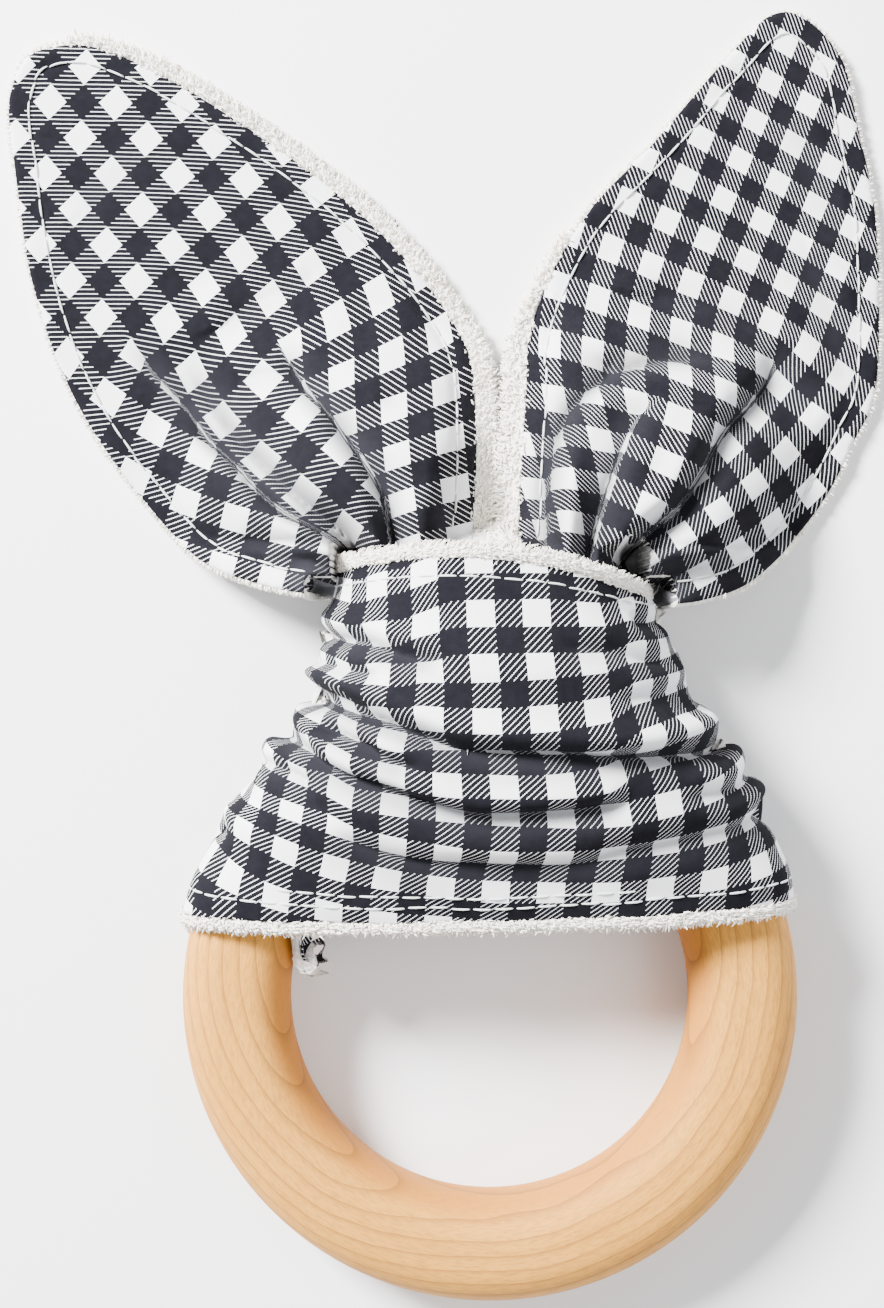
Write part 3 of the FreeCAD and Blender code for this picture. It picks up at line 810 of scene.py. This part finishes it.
# Each ear's outline runs in plan from the inner side of the neck up the inner edge, round the tip and down
# the outer edge to the lobe and back into the neck, with the width of terry that shows inside it. A fold is
# its line from the neck outwards, its depth at the two ends, its half-width at the two ends, the height of
# its lip (negative for one on the line's right) and the wedge of cloth folded away, in degrees.
LEFT_OUTLINE = (
    (-1, 37, 0.3), (-0.8, 42, 0.6), (-0.3, 47, 1.5), (0.1, 52.1, 2.3), (0.7, 59, 2.5), (0.7, 66.1, 2.5),
    (-0.4, 74.3, 2.2), (-4.5, 81.3, 1.8), (-10.4, 88.3, 1.8), (-18.5, 95.4, 1.6), (-30.2, 103.5, 1.5),
    (-39.6, 108.9, 1.4), (-47.8, 111.3, 1), (-54, 109.6, 0.6), (-56.6, 104.7, 0.4), (-55.9, 95.4, 0.3),
    (-53.6, 81.3, 0.3), (-48.9, 68.5, 0.4), (-41.9, 58, 0.4), (-33.7, 49.4, 0.4), (-25.6, 46.2, 0.4),
    (-20.8, 45.2, 0.4), (-18.2, 45, 0.4), (-16.2, 43.2, 0.3), (-15.4, 40, 0.3), (-14.8, 37, 0.3),
)
LEFT_FOLDS = (
    (((-9.6, 38), (-9.9, 46), (-11.2, 52), (-12.5, 57.3), (-14.5, 60.6), (-16.4, 63.3), (-18.6, 66.4),
     (-21, 69), (-22.8, 71.8), (-25, 76)), 5.6, 1.4, 0.8, 1.3, 1.2, 40),
    (((-12.2, 38), (-13, 46), (-16, 51.6), (-20.5, 55.4), (-24.3, 58.8), (-29, 63.5), (-31.2, 66.3),
     (-33.5, 69.5), (-36.5, 74)), 5.2, 1.8, 0.7, 1.1, 1, 0),
    (((-14, 38), (-14.8, 46), (-16.8, 50.9), (-20, 53), (-23.3, 54.8), (-26.5, 57.5), (-29.5, 60.8),
     (-32.5, 63.6), (-35.5, 67.6), (-38.5, 70.8), (-43, 76.5)), 5.4, 1.8, 0.7, 1.1, 0.9, 25),
    (((-4.8, 38), (-4.9, 48), (-5.4, 54), (-7, 61)), 3, 0.4, 0.9, 2.2, 0.5, 0),
    (((-15.6, 45), (-19.5, 48.8), (-24, 49.6), (-29.5, 52.2)), 2.6, 0.4, 0.8, 1.5, 0.6, 0),
    (((-14.8, 68), (-20.5, 70.5), (-26, 71.2), (-30, 70.2)), 0.2, 1, 0.8, 1, -0.5, 0),
    (((-29.6, 78.7), (-24.5, 81.6), (-19.8, 83.3)), 0.6, 0.4, 1.3, 1.3, 0.4, 0),
    (((-46.8, 92.1), (-43.5, 95.5), (-41, 98)), 0.7, 0.4, 1.2, 1.2, 0.4, 0),
)
RIGHT_OUTLINE = (
    (1.4, 37, 0.3), (1.3, 42, 0.6), (1.2, 47, 1.5), (1.1, 52.1, 2.4), (1.3, 60, 2.6), (1.9, 68.5, 2.6),
    (3.1, 76.7, 2), (6.6, 84.2, 1.2), (11.8, 91.8, 0.7), (18.8, 98.9, 0.5), (27, 108.2, 0.4),
    (33.2, 114.2, 0.3), (36.6, 114.2, 0.3), (41.6, 109.4, 0.4), (44, 100, 0.4), (45.7, 91.8, 0.4),
    (46.3, 80.2, 0.4), (45.7, 68.5, 0.5), (43.4, 63.6, 0.5), (39.9, 56.8, 0.5), (35.2, 51, 0.5),
    (29.4, 46.4, 0.4), (23.5, 44.4, 0.4), (20.4, 44, 0.4), (17.8, 43.8, 0.4), (16, 42.4, 0.3),
    (15.2, 39.6, 0.3), (14.8, 37, 0.3),
)
RIGHT_FOLDS = (
    (((5.8, 38), (6, 46), (6.4, 51.5), (6.5, 56.4), (6.9, 59.8), (7.8, 63.3), (9.8, 67.2), (12.6, 69.9),
     (17.2, 72), (23, 72.8), (28, 72)), 5.4, 2, 0.8, 1.2, -1.2, 6),
    (((9.9, 38), (10.2, 46), (11.5, 52.2), (12.8, 56.8), (14.3, 61), (16.4, 65), (19.5, 68.5)),
     4.6, 0.8, 0.7, 1.2, -0.8, 28),
    (((13.6, 38), (14.2, 46), (16.3, 50.9), (21.2, 55.4), (24, 59.5), (27, 64.4), (30.3, 67.8),
     (32.7, 70.8), (34.5, 76)), 5.4, 1.6, 0.8, 1.4, 1.3, 35),
    (((15.6, 45), (19.5, 47.8), (24, 48.6), (30, 51.4)), 2.6, 0.4, 0.8, 1.4, 0.7, 0),
    (((8.6, 78), (11.5, 73.4), (15, 71.6)), 0.3, 1.3, 1, 1, 0.5, 0),
    (((20, 80.5), (27, 79), (33.5, 73.5), (39, 66.5)), 0.6, 0.9, 1.6, 1.3, 0.5, 0),
    (((38.5, 84), (40.6, 77), (42, 70)), 0.9, 0.6, 1, 1.2, 0.5, 0),
    (((36.2, 100), (39.5, 93), (41.5, 87)), 0.9, 0.5, 1, 1.2, 0.5, 0),
)
# "along" and "across" are the bearings in degrees of the strip's length and width on an ear, with "pace"
# cloth millimetres for each one seen. The place "check_at" on the ear is the place "check" on the strip.
EARS = {
    "left": {
        "root_x": -8.7,
        "outline": LEFT_OUTLINE,
        "along": 135.0,
        "across": 220.0,
        "pace": (1.09, 1.04),
        "towards_neck": True,
        "check_at": (-44.1, 99.4),
        "check": (-91.5, 28.5),
        "folds": LEFT_FOLDS,
    },
    "right": {
        "root_x": 9.5,
        "outline": RIGHT_OUTLINE,
        "along": 58.0,
        "across": 159.0,
        "pace": (1.25, 1.2),
        "towards_neck": False,
        "check_at": (32.7, 97.8),
        "check": (94.5, 28.5),
        "folds": RIGHT_FOLDS,
    },
}
# An ear's height at its root, and how far from there it comes down to the table.
EAR_CREST = 14.6
EAR_FALL = 34.0
EAR_SPACING = 0.42
# The band's top edge and the half-width of its mouth, and a height that clears everything.
BAND_TOP = 50.5
MOUTH_HALF = 17.6
NO_ROOF = 30.0
# Yarn ends start at this y, and pile where more terry than this shows.
YARN_FROM_Y = 45.0
RAW_EDGE = 0.9


def band_underside(points):
    """Row height of the inside of the band's mouth over a plan point, far above anything outside it."""
    aside, y = np.abs(points[:, 0]), points[:, 1]
    _, row_y, row_crown, row_edge, *_ = zip(*BAND_ROWS)
    level_y = y + 0.8
    half = np.interp(level_y, OUTLINE_Y, OUTLINE_LEFT) - 2.2
    crown = np.interp(level_y, row_y, row_crown) - 2.3
    edge = np.interp(level_y, row_y, row_edge)
    share = np.clip(1 - (aside / half) ** 2.4, 0.0, 1.0) ** (1 / 2.4)
    roof = edge + (crown - edge) * share + y * math.sin(TILT) + LIFT
    below_side = 2.7 + NO_ROOF * smooth((np.abs(aside - 18.4) - 1.3) / 2.2)
    outside = NO_ROOF * (aside > MOUTH_HALF)
    below_side = below_side + NO_ROOF * smooth((y - 46.5) / 2.5)
    return np.minimum(roof + outside, below_side) + NO_ROOF * smooth((y - 50.0) / 4.0)


def ear_height(ear, points, gap):
    """Row height of the gingham side over each plan point. gap is its distance from the ear's edge."""
    root_x = ear["root_x"]
    x, y = points.T
    sideways = np.maximum(np.abs(x - root_x) - 6.5, 0) * 1.2
    onwards = np.maximum(y - BAND_TOP, 0)
    fall = smooth(np.hypot(sideways, onwards) / EAR_FALL)
    held_up = np.maximum(smooth(gap / 8.0), smooth((54.0 - y) / 4.0))
    z = EAR_CREST * (1 - fall) * (0.35 + 0.65 * held_up)
    z = z + 0.36 * np.maximum(BAND_TOP - y, 0) * (np.abs(x) < MOUTH_HALF)
    puff = 3.0 * np.exp(-(np.hypot(x - root_x * 2.5, y - 66.0) / 17.0) ** 2)
    z = z + puff * smooth(gap / 6.0) + 0.9
    z = z + fold_relief(ear, points)[0] + 0.22 * ripple(points, 9.0, 5 if root_x < 0 else 6)
    return soft_ceiling(z, band_underside(points), 0.4)


def fold_relief(ear, points):
    """Height the folds add at each plan point, and the painted shade the point gets from lying in a fold, 0
    to 1.
    """
    relief, painted_shade = np.zeros((2, len(points)))
    for line, deep, shallow, narrow, broad, lip, *_ in ear["folds"]:
        gap, place = offsets_from(curve_through(line, 0.8), points)
        gap = gap if lip >= 0 else -gap
        depth = deep + (shallow - deep) * smooth(place * 0.9)
        depth = depth * smooth((1 - place) / 0.12)
        width = narrow + (broad - narrow) * place
        relief -= depth * cleft(gap / np.where(gap > 0, width * 0.65, width * 1.5))
        relief += abs(lip) * (1 - place) ** 0.5 * np.exp(-((gap - 2.2 * width) / (1.7 * width)) ** 2)
        # Painted shade across each fold: broad round its bottom, with a sharp core.
        shade_falloff = 0.7 * np.exp(-((gap + 0.4) / 1.9) ** 2) + 0.3 * np.exp(-np.abs(gap) / 0.4)
        painted_shade = np.maximum(painted_shade, np.clip(depth / 2.5, 0, 1) * shade_falloff)
    return relief, painted_shade


def ear_ruffle(points, gap, place):
    """How far the ear's edge lifts off the surface near its outline."""
    wave = 0.5 + 0.5 * np.sin(2 * math.pi * (place * 13.0 + 0.2)) * np.cos(2 * math.pi * place * 5.0)
    return 1.1 * wave * np.exp(-gap / 5.0) * smooth((points[:, 1] - 52.0) / 12.0)


def opened(line, degrees, points):
    """How far plan points move when the wedge of cloth folded away along a line is let out again. The wedge
    has its tip at the fold's far end, and the change fades away round that end."""
    trace = curve_through(line, 0.8)[::-1]
    tip = trace[0]
    reach = np.maximum.accumulate(np.linalg.norm(trace - tip, axis=1))
    bearing = np.unwrap(np.arctan2(*(trace[1:] - tip).T[::-1]))
    x, y = (points - tip).T
    distance = np.linalg.norm(points - tip, axis=1)
    off = np.arctan2(y, x) - np.interp(distance, reach[1:], bearing)
    off = (off + math.pi) % (2 * math.pi) - math.pi
    turn = math.radians(degrees) / 2 * np.tanh(off * distance / 0.15) * ((1 + np.cos(off)) / 2) ** 2
    cos, sin = np.cos(turn), np.sin(turn)
    return np.stack([x * (cos - 1) - y * sin, x * sin + y * (cos - 1)], -1)


def ear_cloth(ear, points):
    """Place on the strip of each plan point."""
    points = np.vstack([[ear["check_at"]], points])
    moved = points.copy()
    for line, *_, degrees in ear["folds"]:
        if degrees:
            moved += opened(line, degrees, points)
    rel = moved - moved[0]
    towards = np.radians([ear["along"], ear["across"]])
    place = (rel @ np.array([np.cos(towards), np.sin(towards)])) * ear["pace"]
    return (ear["check"] + place * (-1 if ear["towards_neck"] else 1))[1:]


def inward(loop):
    """Unit vectors into a closed anticlockwise or clockwise loop."""
    along = np.roll(loop, -1, 0) - np.roll(loop, 1, 0)
    normal = unit(np.stack([-along[:, 1], along[:, 0]], -1))
    area = (loop[:, 0] * np.roll(loop[:, 1], -1) - np.roll(loop[:, 0], -1) * loop[:, 1]).sum()
    return normal if area > 0 else -normal


def under_band(points):
    """1 for plan points well inside the band's mouth, where no light gets in, fading to 0 outside."""
    return smooth((52.0 - points[:, 1]) / 4.0) * smooth((24.5 - np.abs(points[:, 0])) / 4.0)


def build_ear(side):
    """One ear: gingham face, terry backing with a raw edge all round, and a row of sewing inside the edge."""
    ear = EARS[side]
    closed = curve_through(ear["outline"], 0.55, closed=True)
    loop, shows = closed[:, :2], closed[:, 2]
    into = inward(loop)
    seam = loop + into * (shows * 0.9)[:, None]
    edge_line = np.vstack([loop, loop[:1]])
    sewn_line = loop + into * (np.maximum(shows, 0.8) + 2.0)[:, None]
    sewn_line = sewn_line[(loop[:, 1] > 51.5) | (np.abs(loop[:, 0]) > 20.5)]

    def top_of(points):
        gap, place = offsets_from(edge_line, points)
        gap = np.abs(gap)
        z = ear_height(ear, points, gap) + ear_ruffle(points, gap, place)
        near = gap < 7.0
        from_sewing = np.full(len(points), 9.0)
        if near.any():
            from_sewing[near] = offsets_from(sewn_line, points[near])[0]
        z = z - 0.45 * np.exp(-(from_sewing / 0.5) ** 2)
        return soft_floor(z, FACE + BACKING + 0.05, 0.3)

    plan, faces = fill_loop(seam, EAR_SPACING)
    z = top_of(plan)
    gap, _ = offsets_from(np.vstack([seam, seam[:1]]), plan)
    dip = 0.22 * (1 - np.clip(np.abs(gap) / 0.5, 0, 1)) ** 2
    top = np.column_stack([plan, z - dip])
    bottom = np.column_stack([plan, z - FACE])
    # Painted shade in the folds and painted shadow well inside the band's mouth, both darkening the gingham.
    painted_shade = np.maximum(fold_relief(ear, plan)[1], under_band(plan))
    face = slab(f"{side}_ear_gingham", top, bottom, faces, GINGHAM, ear_cloth(ear, plan), painted_shade)

    plan, faces = fill_loop(loop, EAR_SPACING)
    z = top_of(plan)
    gap = np.abs(offsets_from(edge_line, plan)[0])
    roundness = np.sqrt(np.clip(1 - (1 - np.clip(gap / 0.7, 0, 1)) ** 2, 0.02, 1))
    covered = inside(plan, seam)
    middle = z - FACE - BACKING / 2
    upper = middle + roundness * np.where(covered, BACKING / 2 - 0.03, BACKING / 2 + 0.15)
    lower = middle - roundness * BACKING / 2
    top, bottom = np.column_stack([plan, upper]), np.column_stack([plan, lower])
    backing = slab(f"{side}_ear_terry", top, bottom, faces, TERRY)

    edge_z = top_of(loop) - FACE - BACKING / 2
    edge = np.column_stack([loop + into * 0.25, edge_z])
    out = np.column_stack([-into, np.zeros(len(loop))])
    up = np.tile([0.0, 0.0, 1.0], (len(loop), 1))
    fringes = []
    for name, chosen, layers, reach, width, lean in (
        ("edge", np.ones(len(loop), bool), 4, (0.25, 0.55), 0.13, 0.15),
        ("fringe", shows > RAW_EDGE, 4, (0.5, 1.25), 0.17, 0.5),
    ):
        run = np.flatnonzero(chosen & (loop[:, 1] > YARN_FROM_Y))
        pieces = np.split(run, np.flatnonzero(np.diff(run) > 1) + 1)
        longest = max(pieces, key=len)
        fringes.append(fringe(f"{side}_ear_{name}", edge[longest], out[longest], up[longest], layers, 0.28,
                              reach, width, 50 + len(name), lean, BACKING * 0.9))
    fringes.append(pile(f"{side}_ear_pile", loop, into, shows, top_of))

    row = np.column_stack([sewn_line, top_of(sewn_line) + 0.12])
    sewing = stitches(f"{side}_ear_stitches", row, up[:len(row)], seed=3)
    return face, backing, fringes, sewing


def pile(name, loop, into, shows, top_of):
    """Loops of towelling that stand on the strip of terry between the gingham's edge and the ear's edge."""
    rng = np.random.default_rng(77)
    roots, heads = [], []
    for i in np.flatnonzero((shows > RAW_EDGE) & (loop[:, 1] > YARN_FROM_Y)):
        for _ in range(int(5 * shows[i])):
            reach = rng.uniform(0.1, shows[i])
            spot = loop[i] + into[i] * reach + rng.uniform(-0.3, 0.3, 2)
            along = np.array([into[i][1], -into[i][0]])
            tip = spot + along * rng.normal(0.35, 0.25) - into[i] * rng.normal(0.25, 0.25)
            roots.append((*spot, -0.25))
            heads.append((*tip, rng.uniform(0.15, 0.55)))
    roots, heads = np.array(roots), np.array(heads)
    roots[:, 2] += top_of(roots[:, :2]) - FACE
    heads[:, 2] += top_of(heads[:, :2]) - FACE + 0.25
    return tufts(name, roots, heads, 0.17, 78)


# ------------------------------------------------------------------ putting it together


def assemble():
    face, backing, edges, sewing = build_knot()
    for obj in (face, backing, *edges, *sewing):
        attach(obj, "knot")
    sides = ("left", "right")
    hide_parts("band_face", *(f"{s}_wrap_face" for s in sides))
    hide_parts("band_backing", *(f"{s}_wrap_backing" for s in sides))
    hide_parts("band_topstitch")
    for side in sides:
        face, backing, fringes, sewing = build_ear(side)
        for obj in (face, backing, *fringes, sewing):
            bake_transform(obj)
        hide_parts(f"{side}_ear_face", f"{side}_neck_face")
        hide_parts(f"{side}_ear_backing", f"{side}_neck_backing")
        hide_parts(f"{side}_ear_topstitch")


TABLE_HALF = 900
TABLE_LEVEL = -0.02
LAMP_AIM_M = (0, 0.035, 0)
LAMPS = (("key", (-0.42, 0.40, 0.42), 34.0, 0.20), ("fill", (0.5, -0.1, 0.6), 4.0, 0.7))
CAMERA_PLACE_M = (-0.00546, 0.0388, 0.230)
CAMERA_LENS = 53.47
CAMERA_SENSOR = 36.0


def light_and_floor():
    """A white table top, a bright sky, a soft lamp from the upper left and a weak one from the right."""
    corners = [(x * TABLE_HALF, y * TABLE_HALF, TABLE_LEVEL) for x, y in ((-1, -1), (1, -1), (1, 1), (-1, 1))]
    floor = new_mesh("floor", corners, [(0, 1, 2, 3)], plain("table", (0.93, 0.93, 0.94), 0.9))
    world = bpy.data.worlds.new("studio")
    bpy.context.scene.world = world
    world.use_nodes = True
    background = next(n for n in world.node_tree.nodes if n.type == "BACKGROUND")
    background.inputs[0].default_value = (0.95, 0.97, 1.0, 1)
    background.inputs[1].default_value = 0.80
    for name, place, power, size in LAMPS:
        data = bpy.data.lights.new(name, "AREA")
        data.energy = power
        data.size = size
        lamp = bpy.data.objects.new(name, data)
        lamp.location = place
        lamp.rotation_euler = (Vector(LAMP_AIM_M) - Vector(place)).to_track_quat("-Z", "Y").to_euler()
        bpy.context.scene.collection.objects.link(lamp)


def camera():
    """Straight down, 230 mm above the table."""
    data = bpy.data.cameras.new("camera")
    data.sensor_fit = "VERTICAL"
    data.sensor_height = CAMERA_SENSOR
    data.lens = CAMERA_LENS
    data.clip_start = 0.01
    obj = bpy.data.objects.new("camera", data)
    obj.location = CAMERA_PLACE_M
    bpy.context.scene.collection.objects.link(obj)
    bpy.context.scene.camera = obj


assemble()
light_and_floor()
camera()
